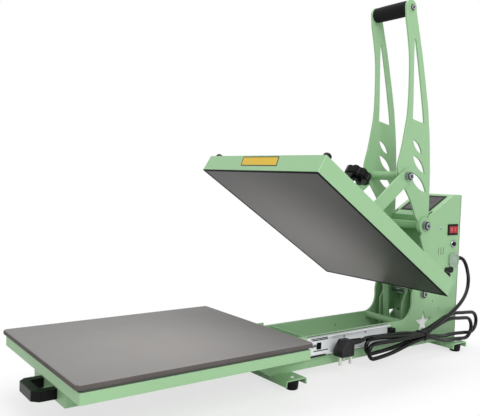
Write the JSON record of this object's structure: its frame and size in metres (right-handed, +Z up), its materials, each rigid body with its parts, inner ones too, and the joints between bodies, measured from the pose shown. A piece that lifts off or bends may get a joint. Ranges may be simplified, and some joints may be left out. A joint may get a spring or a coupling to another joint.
{
  "type": "slide-out heat press",
  "caption": "Clamshell heat press with a lower platen that pulls out on telescopic slides, a tall double lever and a tied mains lead.",
  "frame": {"origin": "on the ground under the middle of the outline, the loose mains lead left out", "axes": "+X the operator's right, -Y the way the drawer pulls out, +Z up"},
  "size_m": [0.4214, 1.281, 0.9394],
  "materials": {
    "mint_coat": "satin powder coat",
    "mint_inner": "satin powder coat in shade",
    "bed_grey": "matt",
    "zinc": "zinc plated",
    "chrome": "polished",
    "black_rubber": "matt",
    "black_plastic": "moulded",
    "foam": "soft foam",
    "pad_rubber": "silicone pad",
    "red_plastic": "gloss",
    "grey_plastic": "satin",
    "dark_glass": "dark window",
    "board_green": "circuit board",
    "relay_plastic": "moulded",
    "cast_dark": "dark non-stick coating",
    "element_steel": "heat tinted",
    "insulation": "fibre board"
  },
  "bodies": {
    "base": {"right_side_plate": "mint_coat", "left_side_plate": "mint_coat", "front_cross_plate": "mint_coat", "throat_cross_tube": "mint_coat", "pivot_cheeks": "mint_inner", "box_front_panel": "mint_inner", "control_panel": "mint_coat", "display_bezel": "black_plastic", "display_glass": "dark_glass", "rear_cover": "mint_coat", "controller_board": "board_green", "relay": "relay_plastic", "front_outrigger": "mint_coat", "rear_outrigger": "mint_coat", "rubber_feet": "black_rubber", "foot_screws": "zinc", "slide_outer_members": "zinc", "slide_stops": "black_rubber", "main_pivot_shaft": "chrome", "lever_pivot_bolt": "chrome", "lever_spacer_tube": "mint_inner", "strut_foot_pin": "chrome", "switch_housing": "black_plastic", "breaker_ring": "chrome", "side_grommet": "black_rubber", "side_cap": "grey_plastic", "cord_gland": "black_rubber", "cord_lead": "black_rubber", "cord_hank": "black_rubber", "cord_tail": "black_rubber", "cord_tie": "black_plastic", "mains_plug": "black_plastic"},
    "rocker": {"power_rocker": "red_plastic"},
    "button": {"breaker_button": "black_plastic"},
    "mid_slides": {"slide_middle_members": "zinc", "ball_retainers": "black_plastic"},
    "drawer": {"slide_inner_members": "zinc", "drawer_hangers": "mint_coat", "front_apron": "mint_coat", "drawer_tray": "mint_coat", "bed_plate": "bed_grey", "lower_pad": "pad_rubber", "drawer_handle": "black_plastic"},
    "upper_platen": {"platen_cover": "mint_coat", "heat_platen": "cast_dark", "heating_element": "element_steel", "insulation_board": "insulation", "platen_caps": "black_plastic", "platen_arms": "mint_inner", "pressure_bridge": "mint_inner"},
    "knob": {"pressure_knob": "black_plastic", "pressure_spindle": "zinc"},
    "lever": {"lever_plates": "mint_coat", "lever_cross_tube": "mint_coat", "link_bolts": "chrome", "foam_grip": "foam", "grip_tube": "zinc"},
    "links": {"lower_links": "mint_coat"},
    "strut_body": {"strut_cylinder": "mint_inner"},
    "strut_piston": {"strut_rod": "chrome"}
  },
  "joints": [
    {"name": "drawer_slide", "type": "slide", "parent": "base", "child": "drawer", "axis": [0, 1, 0], "range_m": [0, 0.42]},
    {"name": "mid_slide", "type": "slide", "parent": "base", "child": "mid_slides", "axis": [0, 1, 0], "range_m": [0, 0.21]},
    {"name": "arm_tilt", "type": "hinge", "parent": "base", "child": "upper_platen", "pos_m": [0, 0.4315, 0.166], "axis": [1, 0, 0], "range_deg": [0, 32.7], "stiffness_Nm_per_rad": 170, "springref_deg": -24.64},
    {"name": "lever_turn", "type": "hinge", "parent": "base", "child": "lever", "pos_m": [0, 0.4255, 0.352], "axis": [1, 0, 0], "range_deg": [0, 76.5]},
    {"name": "link_turn", "type": "hinge", "parent": "lever", "child": "links", "pos_m": [0, 0.3435, 0.484], "axis": [1, 0, 0], "range_deg": [-86, 0]},
    {"name": "strut_swing", "type": "hinge", "parent": "base", "child": "strut_body", "pos_m": [0, 0.3945, 0.055], "axis": [1, 0, 0], "range_deg": [0, 14.5]},
    {"name": "strut_stroke", "type": "slide", "parent": "strut_body", "child": "strut_piston", "axis": [0, -0.0765, 0.9971], "range_m": [-0.034, 0]},
    {"name": "knob_turn", "type": "hinge", "parent": "upper_platen", "child": "knob", "pos_m": [0, 0.21911, 0.47229], "axis": [0, 0.5402, 0.8415], "continuous": true},
    {"name": "switch_rock", "type": "hinge", "parent": "base", "child": "rocker", "pos_m": [0.064, 0.5515, 0.3385], "axis": [0, 0, 1], "range_deg": [0, 10]},
    {"name": "breaker_push", "type": "slide", "parent": "base", "child": "button", "axis": [-1, 0, 0], "range_m": [0, 0.003], "stiffness_N_per_m": 400}
  ],
  "couplings": [
    {"joint": "mid_slide", "follows": "drawer_slide", "ratio": 0.5},
    {"joint": "lever_turn", "follows": "arm_tilt", "ratio": 2.3352},
    {"joint": "link_turn", "follows": "arm_tilt", "ratio": -2.6234},
    {"joint": "strut_swing", "follows": "arm_tilt", "ratio": 0.43877},
    {"joint": "strut_stroke", "follows": "arm_tilt", "m_per_rad": -0.058455}
  ]
}
